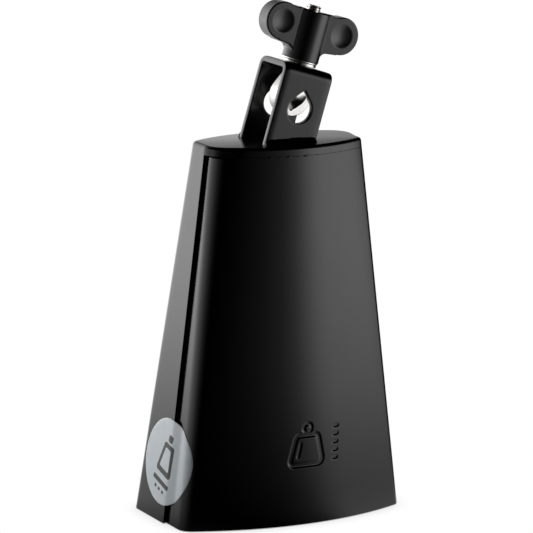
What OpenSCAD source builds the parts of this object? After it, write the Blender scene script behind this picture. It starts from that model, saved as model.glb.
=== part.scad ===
// Cowbell with a clamp bracket on its crown.
// A pressed steel rear shell (back, flanks and crown) laps over a bowed front shell.
// A bent strap bracket is welded to the crown; an eyebolt in it is drawn up by a wing handle
// and grips a round stand rod between the V of the eye and the V of the ear holes.
// Origin: middle of the mouth, on the floor. +Z up, +X to the right, -Y is the front face.

/* [Bell] */
// height of the bell body from mouth to crown
bell_h = 203; // [180:1:215]
// width of the mouth over the flanks
mouth_w = 137.1; // [125:0.1:150]
// width of the crown over the flanks
crown_w = 92.6; // [84:0.1:100]
// depth of the mouth at its corners, before the faces bow out
mouth_corner_d = 51.2; // [46:0.1:56]
// depth of the crown at its corners, before the faces bow out
crown_corner_d = 19.94; // [19.5:0.01:24]
// how far each face bows out at the mouth
mouth_bulge = 14.6; // [12:0.1:18]
// how far each face bows out at the crown
crown_bulge = 12.9; // [11:0.1:14]
// bend radius of the long vertical corners
corner_r = 6; // [5:0.1:7]
// bend radius of the front left corner, which leads into the lapped seam
front_r = 10; // [6:0.5:10]
// extra depth of the crown behind its middle
crown_back = 1; // [0:0.1:1.5]
// sheet steel thickness
sheet = 1.5; // [1.2:0.1:1.6]
// rounding of the crown's rim
rim_r = 2; // [1.8:0.1:2.5]
// depth of the crown's turned-down skirt
skirt = 5; // [4:0.5:7]
// width of the front shell's flange hidden behind the left flank
lap = 9; // [6:0.5:12]

/* [Bracket] */
// lean of the clamp axis towards +X, in degrees
lean = 15.69; // [10:0.01:18]
// where the clamp axis meets the crown
neck_x = -0.4; // [-3:0.1:3]
// width of the bracket strap
strap_w = 30; // [28:0.1:34]
// thickness of the bracket strap
strap_t = 3.5; // [3:0.1:3.8]
// depth of the bracket over its two ears
ears_d = 29.4; // [28:0.1:30]
// how far the bracket's middle sits behind the thread
ears_back = 0.55; // [0:0.05:0.8]
// height of the bracket along its leaning axis
bracket_h = 41.7; // [41:0.1:42]
// height of the round part of the ear holes along the leaning axis
ear_hole_u = 18.6; // [18:0.1:19]
// radius of the round part of the ear holes
ear_hole_r = 7.4; // [6.5:0.1:7.6]
// leg of the weld beads along the ears' lower edges
foot_leg = 3.2; // [2.5:0.1:3.6]

/* [Eyebolt] */
// half width of the eye
eye_r = 10.3; // [10:0.1:10.6]
// depth of the eye along the rod
eye_t = 9; // [8:0.1:10]
// height of the V in the bottom of the eye along the leaning axis
eye_v_u = 16.4; // [16:0.1:17]
// radius of the round part of the eye's opening
eye_hole_r = 7; // [6.6:0.1:7.2]
// nominal thread diameter
thread_d = 8; // [7:0.5:8]
// height of the thread's tip along the leaning axis
tip_u = 74; // [72:0.1:76]

/* [Handle] */
// diameter of the flat washer
washer_d = 18.6; // [18:0.1:20]
// thickness of the flat washer
washer_t = 1.5; // [1.2:0.1:2]
// thickness of the threaded insert's flange
flange_t = 0.8; // [0.6:0.1:1.2]
// diameter of the handle's barrel
barrel_d = 20; // [19:0.1:21]
// height of the barrel's top along the leaning axis
barrel_top_u = 70.6; // [69:0.1:71]
// distance of each wing's round end from the axis
wing_x = 18.7; // [17:0.1:20]
// height of the wings' middle along the leaning axis
wing_u = 61.7; // [61:0.1:62]
// radius of the wings' round ends
wing_r = 10.35; // [9.5:0.05:10.6]
// thickness of the wings
wing_t = 9.6; // [8:0.1:10]
// diameter of the thumb dimples
dimple_d = 14; // [12:0.5:15]
// depth of the thumb dimples
dimple_deep = 1.2; // [0.8:0.1:1.5]

/* [Label] */
// diameter of the round label
label_d = 46.5; // [40:0.5:50]
// height of the label's centre
label_z = 32.8; // [30:0.1:60]
// label centre along the flank, negative towards the front
label_y = -3.5; // [-10:0.1:4]

/* [Hidden] */
$fn = 96;
steel_black = [0.09, 0.09, 0.095];
bright = [0.82, 0.8, 0.76];
plastic = [0.2, 0.2, 0.2];
label_grey = [0.68, 0.73, 0.77];

gap = 0.02;             // clearance between touching pieces
edge_gap = 0.06;        // clearance between the front shell's edges and the rear shell
seam_mouth_y = -8.14;   // front edge of the rear shell's flanks, at the mouth
seam_crown_y = -3.09;   // and at the crown
corner_steps = 7;
face_steps = 22;
shell_steps = 5;        // steps in the height of the shell walls

skirt_z = bell_h - skirt;
rim_z = bell_h - rim_r;
insert_base_u = bracket_h + washer_t + 2 * gap;
flange_top_u = insert_base_u + flange_t;
insert_top_u = barrel_top_u - 5;
insert_r = 6.4;

// ---- lists of points and triangles ----
function mix(from, to, t) = from + (to - from) * t;
function reversed(list) = [for (i = [len(list) - 1 : -1 : 0]) list[i]];
function mirrored_x(path) = [for (p = path) [-p.x, p.y]];
function mirrored_y(path) = [for (p = path) [p.x, -p.y]];
function raised(path, z) = [for (p = path) [p.x, p.y, z]];
function quad(a, b, c, d) = [[a, b, c], [a, c, d]];
function facing(faces, flip) = flip ? [for (f = faces) reversed(f)] : faces;

// Open wall between outer and inner rows of points; flip turns the faces over.
module wall(outer, inner, flip = false) {
    last_row = len(outer) - 1;
    row_len = len(outer[0]);
    last = row_len - 1;
    function out(i, j) = i * 2 * row_len + j;
    function inn(i, j) = out(i, j) + row_len;
    faces = concat(
        [for (i = [0 : last_row - 1], j = [0 : last - 1]) each concat(
            quad(out(i, j), out(i + 1, j), out(i + 1, j + 1), out(i, j + 1)),
            quad(inn(i, j), inn(i, j + 1), inn(i + 1, j + 1), inn(i + 1, j)))],
        [for (j = [0 : last - 1]) each concat(
            quad(out(0, j), out(0, j + 1), inn(0, j + 1), inn(0, j)),
            quad(out(last_row, j), inn(last_row, j), inn(last_row, j + 1), out(last_row, j + 1)))],
        [for (i = [0 : last_row - 1]) each concat(
            quad(out(i, 0), inn(i, 0), inn(i + 1, 0), out(i + 1, 0)),
            quad(out(i, last), out(i + 1, last), inn(i + 1, last), inn(i, last)))]);
    polyhedron([for (i = [0 : last_row]) each concat(outer[i], inner[i])], facing(faces, flip));
}

// Closed solid up through counter-clockwise outlines; flip is for clockwise ones.
module stack(rings, flip = false) {
    top = len(rings) - 1;
    ring_len = len(rings[0]);
    sides = [for (i = [0 : top - 1], j = [0 : ring_len - 1])
        let (low = i * ring_len, high = low + ring_len, k = (j + 1) % ring_len)
        each quad(low + j, high + j, high + k, low + k)];
    bottom_cap = [for (j = [0 : ring_len - 1]) j];
    top_cap = [for (j = [ring_len - 1 : -1 : 0]) top * ring_len + j];
    polyhedron([for (r = rings) each r], facing(concat(sides, [bottom_cap, top_cap]), flip));
}

// ---- bell plan shape ----
function half_w(z) = mix(mouth_w, crown_w, z / bell_h) / 2;
function half_d(z) = mix(mouth_corner_d, crown_corner_d, z / bell_h) / 2;
function bulge(z) = mix(mouth_bulge, crown_bulge, z / bell_h);
function seam_y(z) = mix(seam_mouth_y, seam_crown_y, z / bell_h);
// radius and centre of a bowed face, drawn outward = +y
function face_r(z) = (half_w(z) * half_w(z) + bulge(z) * bulge(z)) / (2 * bulge(z));
function face_c(z) = half_d(z) + bulge(z) - face_r(z);
// centre of the corner bend at +x, and the angle the bend turns through;
// side_in is the inset of the flank, face_in the inset of the bowed face
function corner_centre(z, side_in, face_in, r) =
    let (x = half_w(z) - side_in - r)
    [x, face_c(z) + sqrt(pow(face_r(z) - face_in - r, 2) - x * x)];
function corner_sweep(z, centre) = atan2(centre.y - face_c(z), centre.x);

// One bowed face with its two corner bends, right to left, outward = +y.
function face(z, side_in, face_in, r) =
    let (bow_r = face_r(z) - face_in,
         centre = corner_centre(z, side_in, face_in, r),
         sweep = corner_sweep(z, centre),
         bend = [for (k = [0 : corner_steps])
             let (a = sweep * k / corner_steps)
             [centre.x + r * cos(a), centre.y + r * sin(a)]],
         bow = [for (k = [1 : face_steps - 1])
             let (a = mix(sweep, 180 - sweep, k / face_steps))
             [bow_r * cos(a), face_c(z) + bow_r * sin(a)]])
    concat(bend, bow, reversed(mirrored_x(bend)));

function rear_face(z, inset) =
    [for (p = face(z, inset, inset, corner_r - inset)) [p.x, p.y + crown_back * z / bell_h]];
// rear shell wall: back, corners and flanks as far as the seam
function rear_path(z, inset) =
    let (x = half_w(z) - inset)
    concat([[x, seam_y(z)]], rear_face(z, inset), [[-x, seam_y(z)]]);

// Front face drawn outward = +y: small corner on the right, large one on the left,
// where the flank is inset by a further left_in.
function front_face(z, inset, left_in) =
    let (right = face(z, inset, inset, corner_r - inset),
         left = face(z, left_in + inset, inset, front_r - inset),
         middle = corner_steps + face_steps / 2)
    [for (i = [0 : len(right) - 1]) i <= middle ? right[i] : left[i]];
// front shell wall: butted to the rear shell on the right, lapped inside it on the left
function front_path(z, inset) = mirrored_y(concat(
    [[half_w(z) - inset, edge_gap - seam_y(z)]],
    front_face(z, inset, sheet + gap),
    [[-(half_w(z) - sheet - gap - inset), -(seam_y(z) + lap)]]));
// whole outline of the crown, counter-clockwise
function crown_path(z, inset) =
    concat(rear_face(z, inset), reversed(mirrored_y(front_face(z, inset, 0))));

// ---- shells ----
function heights(top) = [for (k = [0 : shell_steps]) top * k / shell_steps];
inner_bevel = 0.5;  // bevel inside the crown, under its rim

module rear_shell() {
    zs = concat(heights(skirt_z), [rim_z]);
    // [height, inset] of each outline
    rim = [for (a = [0 : 18 : 90]) [rim_z + rim_r * sin(a), rim_r * (1 - cos(a))]];
    hollow = [
        [skirt_z - 1, 0],
        [bell_h - sheet - inner_bevel, 0],
        [bell_h - sheet, inner_bevel]];
    // a resize by zero leaves every size as it is
    color(steel_black) resize([0, 0, 0]) union() {
        wall([for (z = zs) raised(rear_path(z, 0), z)],
            [for (z = zs) raised(rear_path(z, sheet), z)]);
        difference() {
            stack(concat([raised(crown_path(skirt_z, 0), skirt_z)],
                [for (p = rim) raised(crown_path(rim_z, p[1]), p[0])]));
            stack([for (p = hollow)
                raised(crown_path(min(p[0], rim_z), sheet + p[1]), p[0])]);
        }
    }
}

module front_shell() {
    zs = heights(skirt_z - edge_gap);
    color(steel_black)
        wall([for (z = zs) raised(front_path(z, 0), z)],
            [for (z = zs) raised(front_path(z, sheet), z)], flip = true);
}

// ---- bell welds ----
seam_leg = 1.35;       // leg of the left beads, half width of the right ones
butt_deep = 1.1;       // how far the right beads stand inwards
stitch_z = 12;         // bottom of the lowest seam stitch
stitch_len = 12;
stitch_pitch = 33;
crown_stitch = 4.4;    // angle spanned by a crown stitch
crown_bead = [1, 1.3]; // depth and half height of a crown stitch
crown_bead_tilt = 0.13;

// hollow bead on the left, in the corner behind the lapped flange
function lap_bead(z) =
    let (x = half_w(z) - sheet - gap, y = seam_y(z) + lap + gap)
    raised(concat([[-x, y]], [for (k = [0 : 4]) let (a = 22.5 * k)
        [-(x - seam_leg * (1 - sin(a))), y + seam_leg * (1 - cos(a))]]), z);
// rounded bead on the right, across the butt joint
function butt_bead(z) =
    [for (k = [0 : 9]) let (a = 20 * k)
        [half_w(z) - sheet - gap - butt_deep * sin(a), seam_y(z) - seam_leg * cos(a), z]];

module seam_welds() {
    color(steel_black) for (k = [0 : 5]) {
        z1 = stitch_z + stitch_pitch * k;
        z2 = z1 + stitch_len;
        stack([lap_bead(z1), lap_bead(z2)]);
        stack([butt_bead(z1), butt_bead(z2)], flip = true);
    }
}

// Stitches inside, across the joint between the skirt and the front shell's upper edge.
module crown_welds() {
    color(steel_black) for (middle = [-24, -8, 8, 24])
        translate([0, -face_c(skirt_z), skirt_z])
            rotate([0, 0, -90 + middle - crown_stitch / 2])
                rotate_extrude(angle = crown_stitch)
                    translate([face_r(skirt_z) - sheet - 0.1, 0])
                        polygon([for (k = [0 : 8]) let (a = 22.5 * k)
                            [crown_bead_tilt * cos(a) - crown_bead.x * sin(a),
                             -crown_bead.y * cos(a)]]);
}

// ---- clamp, drawn along its leaning axis: local +Z runs up the thread ----
module on_neck() {
    translate([neck_x, 0, bell_h]) rotate([0, lean, 0]) children();
}

// Round hole with a right-angled V: dir = 1 points the V up, -1 down. Runs along local Y.
module vee_hole(u, r, dir, depth) {
    side = r / sqrt(2);
    translate([0, 0, u]) rotate([90, 0, 0]) {
        cylinder(r = r, h = depth, center = true);
        linear_extrude(depth, center = true)
            polygon([[-side, dir * side], [0, dir * 2 * side], [side, dir * side], [0, 0]]);
    }
}

strap_bend_r = 1.5;  // inside bend radius of the strap
foot_len = 31.4;     // length of the weld beads at the ears

// section across the ears, in from the strap's outside, open at the bottom
function strap_path(inset) =
    let (y = ears_d / 2 - inset,
         top = bracket_h - inset,
         r = strap_t + strap_bend_r - inset,
         half = concat([[y, -20]],
             [for (a = [0 : 15 : 90]) [y - r + r * cos(a), top - r + r * sin(a)]]))
    concat(half, reversed(mirrored_x(half)));

// bar of the strap's section, lying along local X
module strap_bar(inset, start, length) {
    translate([start, ears_back, 0]) rotate([90, 0, 90])
        linear_extrude(length) polygon(strap_path(inset));
}

module mount_bracket() {
    color(steel_black) difference() {
        // the box cuts the leaning ears off level with the crown
        intersection() {
            translate([-40, -25, bell_h]) cube([90, 50, 60]);
            on_neck() strap_bar(0, -strap_w / 2, strap_w);
        }
        on_neck() {
            strap_bar(strap_t, -50, 100);
            vee_hole(ear_hole_u, ear_hole_r, 1, 60);
            cylinder(r = thread_d / 2 + 0.3, h = 90);
        }
    }
}

// weld bead along the lower outer edge of each ear
module foot_welds() {
    quarter = concat([[0, 0]], [for (a = [0 : 15 : 90]) foot_leg * [cos(a), sin(a)]]);
    color(steel_black) for (side = [-1, 1])
        translate([neck_x - foot_len / 2, 0, bell_h + gap]) rotate([90, 0, 90])
            linear_extrude(foot_len)
                translate([ears_back + side * (ears_d / 2 + gap), 0])
                    polygon([for (p = quarter) [side * p.x, p.y]]);
}

module eyebolt() {
    low = eye_v_u - 2.6 + eye_r;       // centre of the eye's round bottom
    top = bracket_h - strap_t - 0.6;   // top of the eye, just under the strap
    high = top - eye_r;                // centre of the eye's round top
    hole_u = eye_v_u + eye_hole_r * sqrt(2);
    thread_r = thread_d / 2 - 0.05;
    chamfer = 0.8;
    color(bright) on_neck() difference() {
        union() {
            for (u = [low, high])
                translate([0, 0, u]) rotate([90, 0, 0])
                    cylinder(r = eye_r, h = eye_t, center = true);
            translate([-eye_r, -eye_t / 2, low]) cube([2 * eye_r, eye_t, high - low]);
            translate([0, 0, top - 1]) cylinder(r = thread_r, h = tip_u - chamfer - top + 1);
            translate([0, 0, tip_u - chamfer])
                cylinder(r1 = thread_r, r2 = thread_r - chamfer, h = chamfer);
        }
        vee_hole(hole_u, eye_hole_r, -1, 20);
    }
}

module flat_washer() {
    color(bright) on_neck() translate([0, 0, bracket_h + gap]) difference() {
        cylinder(d = washer_d, h = washer_t);
        translate([0, 0, -1]) cylinder(r = thread_d / 2 + 0.25, h = washer_t + 2);
    }
}

// two raised rings around the insert, measured from its flange's top
module insert_rings() {
    for (z = [7, 15]) translate([0, 0, z]) cylinder(r = 7, h = 3);
}

// flanged bush moulded into the handle; it carries the thread
module threaded_insert() {
    color(bright) on_neck() translate([0, 0, insert_base_u]) difference() {
        union() {
            cylinder(d = barrel_d - 0.8, h = flange_t);
            cylinder(r = insert_r, h = insert_top_u - insert_base_u);
            translate([0, 0, flange_t]) insert_rings();
        }
        translate([0, 0, -1]) cylinder(r = thread_d / 2, h = 60);
    }
}

// [x, height] outline that joins the barrel to one wing's round end
wing_web = [
    [0, barrel_top_u - 0.3],
    [7.6, barrel_top_u - 0.1],
    [wing_x - 0.4, wing_u + wing_r - 0.05],
    [wing_x, wing_u],
    [wing_x - 0.4, wing_u - wing_r + 0.05],
    [10, wing_u - wing_r - 1.15],
    [0, wing_u - wing_r - 2.2]];

module wing() {
    rotate([90, 0, 0]) linear_extrude(wing_t, center = true) union() {
        translate([wing_x, wing_u]) circle(r = wing_r);
        polygon(wing_web);
    }
}

module wing_handle() {
    dimple_r = (dimple_d * dimple_d / 4 + dimple_deep * dimple_deep) / (2 * dimple_deep);
    dimple_y = wing_t / 2 - dimple_deep + dimple_r;
    color(plastic) on_neck() difference() {
        union() {
            translate([0, 0, flange_top_u]) cylinder(d = barrel_d, h = barrel_top_u - flange_top_u);
            for (side = [0, 1]) mirror([side, 0, 0]) wing();
        }
        for (side = [-1, 1], front = [-1, 1])
            translate([side * wing_x, front * dimple_y, wing_u]) sphere(r = dimple_r);
        // pocket that holds the insert, and the thread's way out
        translate([0, 0, flange_top_u - 1])
            cylinder(r = insert_r, h = insert_top_u - flange_top_u + 1);
        translate([0, 0, flange_top_u]) insert_rings();
        translate([0, 0, flange_top_u]) cylinder(r = thread_d / 2 + 0.2, h = 60);
    }
}

// ---- label ----
label_lift = 0.14;
label_t = 0.2;
label_cols = 36;
label_rows = 10;
label_trim = 4;    // degrees left off the disc at its front and rear ends
step_start = 0.4;  // the label steps in to the front shell from here, in front of the seam
step_len = 4;
flank_tilt = atan((mouth_w - crown_w) / 2 / bell_h);

// Left side of the bell, forward millimetres in front of the label's centre at height z,
// lifted by off: along the flank, then round the front left corner, then along the front.
function side_point(forward, z, off) =
    let (y = label_y - forward,
         side_in = sheet + gap,
         centre = corner_centre(z, side_in, 0, front_r),
         sweep = corner_sweep(z, centre),
         step = min(1, max(0, (seam_y(z) - step_start - y) / step_len)),
         past_flank = -y - centre.y,
         past_corner = past_flank - front_r * sweep * PI / 180,
         turn = min(sweep, past_flank / front_r * 180 / PI),
         bow_turn = sweep + max(0, past_corner) / face_r(z) * 180 / PI,
         bend_r = front_r + off,
         bow_r = face_r(z) + off)
    past_flank <= 0 ? [-(half_w(z) - side_in * step + off), y, z]
    : past_corner <= 0 ? [-(centre.x + bend_r * cos(turn)), -(centre.y + bend_r * sin(turn)), z]
    : [-bow_r * cos(bow_turn), -(face_c(z) + bow_r * sin(bow_turn)), z];

// columns of points across the disc, from rear to front
function label_skin(off) =
    [for (i = [0 : label_cols])
        let (a = mix(label_trim, 180 - label_trim, i / label_cols),
             forward = -label_d / 2 * cos(a),
             half_h = label_d / 2 * sin(a) * cos(flank_tilt))
        [for (j = [0 : label_rows])
            side_point(forward, label_z + half_h * (2 * j / label_rows - 1), off)]];

module round_label() {
    color(label_grey) wall(label_skin(label_lift + label_t), label_skin(label_lift));
}

rear_shell();
front_shell();
seam_welds();
crown_welds();
mount_bracket();
foot_welds();
eyebolt();
flat_washer();
threaded_insert();
wing_handle();
round_label();
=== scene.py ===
"""A black sheet-metal bell standing mouth down, with a leaning clamp on its crown.

Bell frame: Z up from the mouth, X across the wide face, -Y the front, +X the right.
The clamp is a bent strap with an eyebolt, washer, bush and wing handle on one axis that
leans towards +X. Shapes are worked out in mm; make() turns them into metres.
"""

import math

import bpy
import numpy as np
from mathutils import Matrix, Vector
from mathutils.geometry import delaunay_2d_cdt


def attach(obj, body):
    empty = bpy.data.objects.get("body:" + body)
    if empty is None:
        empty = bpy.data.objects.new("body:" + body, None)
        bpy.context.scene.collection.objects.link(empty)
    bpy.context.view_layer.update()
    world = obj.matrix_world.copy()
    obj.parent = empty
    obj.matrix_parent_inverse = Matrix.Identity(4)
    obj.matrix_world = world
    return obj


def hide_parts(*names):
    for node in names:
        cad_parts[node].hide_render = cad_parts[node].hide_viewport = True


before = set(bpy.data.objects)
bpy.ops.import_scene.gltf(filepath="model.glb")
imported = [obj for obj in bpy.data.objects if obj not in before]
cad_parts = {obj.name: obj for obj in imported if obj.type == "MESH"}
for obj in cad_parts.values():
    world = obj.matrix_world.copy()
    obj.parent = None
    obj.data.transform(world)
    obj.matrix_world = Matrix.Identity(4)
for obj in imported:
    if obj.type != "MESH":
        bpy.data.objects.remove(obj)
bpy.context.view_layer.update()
MM = 0.001

# ---------------------------------------------------------------- dimensions, mm
# bell
H = 203.0
SHEET = 1.5
GAP = 0.02
RIM = 2.0  # outer radius round the crown
SKIRT = 5.0  # depth of the crown's rim over the front shell
LAP = 9.0  # flange behind the left flank
STEP = SHEET + 0.42  # how far the front shell sits inside the left flank
# plan sizes that change evenly with height: (at the mouth, at the crown)
WIDTH = (137.1, 92.6)
DEPTH = (51.2, 19.94)
BOW = (14.6, 12.9)
SEAM = (-8.14, -3.09)
FRONT_LEFT_R = (7.5, 10.0)
CORNER = 6.0
CORNER_CROWN = 11.5  # rear right corner at the crown

# clamp: places are (across, along Y, up the axis) from the neck point on the crown
LEAN = math.radians(15.69)
NECK_X = -0.4
STRAP_W, STRAP_T = 30.0, 3.5
EARS_D, EARS_BACK = 29.4, 0.55  # depth over the two ears, shift to the rear
STRAP_TOP = 41.7
BEND_IN = 1.5
BOLT_HOLE_R = 4.3
EAR_HOLE_UP, EAR_HOLE_R, EAR_HOLE_TIP_R = 18.6, 7.4, 0.8
FOOT_LEG = 3.2  # weld leg
EYE_R, EYE_T, EYE_UP = 10.2, 9.6, 24.0
EYE_TOP = STRAP_TOP - STRAP_T - 0.6
EYE_HOLE_R, EYE_HOLE_TIP = 7.0, 16.4
EYE_HOLE_UP = EYE_HOLE_TIP + EYE_HOLE_R * math.sqrt(2)
THREAD_R, PITCH = 3.95, 1.25
THREAD_FROM, THREAD_TO = 38.0, 74.0
WASHER_T, FLANGE_T = 1.5, 0.8
BARREL_R, BARREL_TOP = 10.0, 70.6
BARREL_LOW = STRAP_TOP + WASHER_T + 2 * GAP + FLANGE_T
WING_X, WING_UP, WING_R, WING_T = 18.7, 61.7, 10.2, 9.6

# label on the left flank
LABEL_R, LABEL_Z, LABEL_Y = 23.25, 32.8, -3.5
FLANK_TILT = math.atan((WIDTH[0] - WIDTH[1]) / 2 / H)

UP = np.array([math.sin(LEAN), 0, math.cos(LEAN)])
SIDE = np.array([math.cos(LEAN), 0, -math.sin(LEAN)])
NECK = np.array([NECK_X, 0, H])


def neck(p):
    """Clamp coordinates to the bell frame."""
    p = np.asarray(p, float)
    return NECK + p[..., :1] * SIDE + p[..., 1:2] * np.array([0, 1.0, 0]) + p[..., 2:3] * UP


# ---------------------------------------------------------------- objects
def make(name, mesh, body, materials, replaces=None, angle=38, face_slots=None):
    """Object from (verts in mm, faces), smooth with edges over angle degrees kept sharp."""
    verts, faces = mesh
    data = bpy.data.meshes.new(name)
    data.from_pydata([tuple(v) for v in np.asarray(verts) * MM], [],
                     [tuple(int(i) for i in f) for f in faces])
    data.validate()
    ob = bpy.data.objects.new(name, data)
    bpy.context.scene.collection.objects.link(ob)
    for material in materials:
        data.materials.append(material)
    if face_slots is not None:
        data.polygons.foreach_set("material_index", np.asarray(face_slots, np.int32))
    data.polygons.foreach_set("use_smooth", np.ones(len(data.polygons), bool))
    data.set_sharp_from_angle(angle=math.radians(angle))
    data.update()
    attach(ob, body)
    if replaces:
        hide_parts(replaces)
    return ob


def bevel(ob, width):
    mod = ob.modifiers.new("edge", "BEVEL")
    mod.width = width * MM
    mod.segments = 3
    mod.limit_method = "ANGLE"
    mod.angle_limit = math.radians(50)
    mod.harden_normals = False


def join(parts):
    verts, faces, count = [], [], 0
    for part_verts, part_faces in parts:
        verts.append(np.asarray(part_verts, float))
        faces += [tuple(i + count for i in f) for f in part_faces]
        count += len(part_verts)
    return np.concatenate(verts), faces


def band(first, second, count, turned=False):
    """Quads between two rings of points; turned ones face the other way."""
    quads = []
    for j in range(count):
        k = (j + 1) % count
        if turned:
            quads.append((first + j, second + j, second + k, first + k))
        else:
            quads.append((first + j, first + k, second + k, second + j))
    return quads


def lathe(profile, segments=144):
    """Closed solid of revolution about the clamp axis; profile is a loop of (radius, height)."""
    count = len(profile)
    a = np.linspace(0, 2 * math.pi, segments, endpoint=False)
    radius = profile[None, :, 0]
    verts = np.stack([radius * np.cos(a)[:, None], radius * np.sin(a)[:, None],
                      np.repeat(profile[None, :, 1], segments, 0)], -1).reshape(-1, 3)
    faces = []
    for i in range(segments):
        faces += band(i * count, (i + 1) % segments * count, count, turned=True)
    return neck(verts), faces


# ---------------------------------------------------------------- flat loops
def box(x0, y0, x1, y1):
    return [(x0, y0), (x1, y0), (x1, y1), (x0, y1)]


def trapezoid(low_half, low, high_half, high):
    return [(-low_half, low), (low_half, low), (high_half, high), (-high_half, high)]


def circle(centre, radius, count):
    a = np.linspace(0, 2 * math.pi, count, endpoint=False)
    return np.stack([centre[0] + radius * np.cos(a), centre[1] + radius * np.sin(a)], 1)


def rounded(points, radius, steps=5):
    """A closed loop with its corners rounded to radius (a number or one per corner)."""
    points = [np.array(p, float) for p in points]
    radii = np.broadcast_to(radius, len(points))
    out = []
    for i, p in enumerate(points):
        a, b = points[i - 1] - p, points[(i + 1) % len(points)] - p
        len_a, len_b = np.linalg.norm(a), np.linalg.norm(b)
        a, b = a / len_a, b / len_b
        half = math.acos(a @ b) / 2
        cut = min(radii[i] / math.tan(half), len_a * 0.49, len_b * 0.49)
        r = cut * math.tan(half)
        centre = p + (a + b) / np.linalg.norm(a + b) * r / math.sin(half)
        start, end = p + a * cut - centre, p + b * cut - centre
        t0, t1 = math.atan2(start[1], start[0]), math.atan2(end[1], end[0])
        turn = (t1 - t0 + math.pi) % (2 * math.pi) - math.pi
        for k in range(steps + 1):
            t = t0 + turn * k / steps
            out.append(centre + r * np.array([math.cos(t), math.sin(t)]))
    return np.array(out)


def resample(loop, step):
    out = []
    for i, p in enumerate(loop):
        q = loop[(i + 1) % len(loop)]
        count = max(1, int(math.ceil(np.linalg.norm(q - p) / step)))
        out += [p + (q - p) * k / count for k in range(count)]
    return np.array(out)


def inset(loop, distance):
    """Moves a counter-clockwise loop inwards."""
    t1, t2 = loop - np.roll(loop, 1, 0), np.roll(loop, -1, 0) - loop
    t1 /= np.linalg.norm(t1, axis=1)[:, None] + 1e-12
    t2 /= np.linalg.norm(t2, axis=1)[:, None] + 1e-12
    n1, n2 = np.stack([-t1[:, 1], t1[:, 0]], 1), np.stack([-t2[:, 1], t2[:, 0]], 1)
    normal = n1 + n2
    normal /= np.linalg.norm(normal, axis=1)[:, None] + 1e-12
    cosine = np.clip((normal * n1).sum(1), 0.5, 1)
    return loop + normal * (distance / cosine)[:, None]


def area(loop):
    x, y = loop[:, 0], loop[:, 1]
    return 0.5 * (x * np.roll(y, -1) - np.roll(x, -1) * y).sum()


def inside(loop, points):
    """Even-odd test of many points against one loop."""
    x, y = points[:, 0][:, None], points[:, 1][:, None]
    x0, y0 = loop[:, 0][None], loop[:, 1][None]
    x1, y1 = np.roll(loop[:, 0], -1)[None], np.roll(loop[:, 1], -1)[None]
    spans = (y0 > y) != (y1 > y)
    with np.errstate(divide="ignore", invalid="ignore"):
        hit_x = x0 + (y - y0) * (x1 - x0) / (y1 - y0)
    return (np.where(spans, hit_x > x, False).sum(1) % 2) == 1


def within(outer, holes, points):
    keep = inside(outer, points)
    for hole in holes:
        keep &= ~inside(hole, points)
    return keep


def plate(outer, holes, step, extra=()):
    """Triangles of a flat plate with holes; extra loops are cut in as edges.

    Loop points come first, in order, then an even grid.
    """
    low, high = outer.min(0), outer.max(0)
    grid_x, grid_y = np.meshgrid(np.arange(low[0] + step / 2, high[0], step),
                                 np.arange(low[1] + step / 2, high[1], step))
    grid = np.stack([grid_x.ravel(), grid_y.ravel()], 1)
    grid = grid[within(outer, holes, grid)]
    loops = [outer, *holes, *extra]
    rim = np.concatenate(loops)
    # grid points too near a loop are left out
    nearest = np.full(len(grid), 9e9)
    for s in range(0, len(rim), 400):
        dx = grid[:, None, 0] - rim[None, s:s + 400, 0]
        dy = grid[:, None, 1] - rim[None, s:s + 400, 1]
        nearest = np.minimum(nearest, np.hypot(dx, dy).min(1))
    grid = grid[nearest > step * 0.45]
    edges, first = [], 0
    for loop in loops:
        count = len(loop)
        edges += [(first + i, first + (i + 1) % count) for i in range(count)]
        first += count
    points = [Vector(p) for p in np.concatenate([rim, grid])]
    result = delaunay_2d_cdt(points, edges, [], 0, 1e-5)
    verts = np.array([tuple(v) for v in result[0]])
    tris = np.array([list(t) for t in result[2]])
    tris = tris[within(outer, holes, verts[tris].mean(1))]
    a, b = verts[tris[:, 1]] - verts[tris[:, 0]], verts[tris[:, 2]] - verts[tris[:, 0]]
    clockwise = a[:, 0] * b[:, 1] - a[:, 1] * b[:, 0] < 0
    tris[clockwise] = tris[clockwise][:, ::-1]
    return verts, tris


def sheet_part(outer, holes, place, thick, edge, step, segments=4):
    """Solid sheet with rounded edges: place(points, depth) maps to mm, depth 0 is the outside."""
    outer = outer if area(outer) > 0 else outer[::-1]
    holes = [hole if area(hole) < 0 else hole[::-1] for hole in holes]
    loops = [outer] + holes
    shrunk = [inset(loop, edge) for loop in loops]
    flat, tris = plate(shrunk[0], shrunk[1:], step)
    count = len(flat)
    verts = [place(flat, 0.0), place(flat, thick)]
    faces = [tuple(t) for t in tris] + [tuple(t[::-1] + count) for t in tris]
    base, first = 2 * count, 0
    for loop in loops:
        size = len(loop)
        starts = [first]
        for s in range(1, 2 * segments + 1):
            # outside face at q = 0, inside face at q = pi
            q = math.pi * s / (2 * segments + 1)
            if q < math.pi / 2:
                depth = edge * (1 - math.cos(q))
            else:
                depth = thick - edge * (1 + math.cos(q))
            verts.append(place(inset(loop, edge * (1 - math.sin(q))), depth))
            starts.append(base)
            base += size
        starts.append(count + first)
        for i in range(size):
            j = (i + 1) % size
            for a, b in zip(starts, starts[1:]):
                faces.append((a + j, a + i, b + i, b + j))
        first += size
    return np.concatenate(verts), faces


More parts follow.
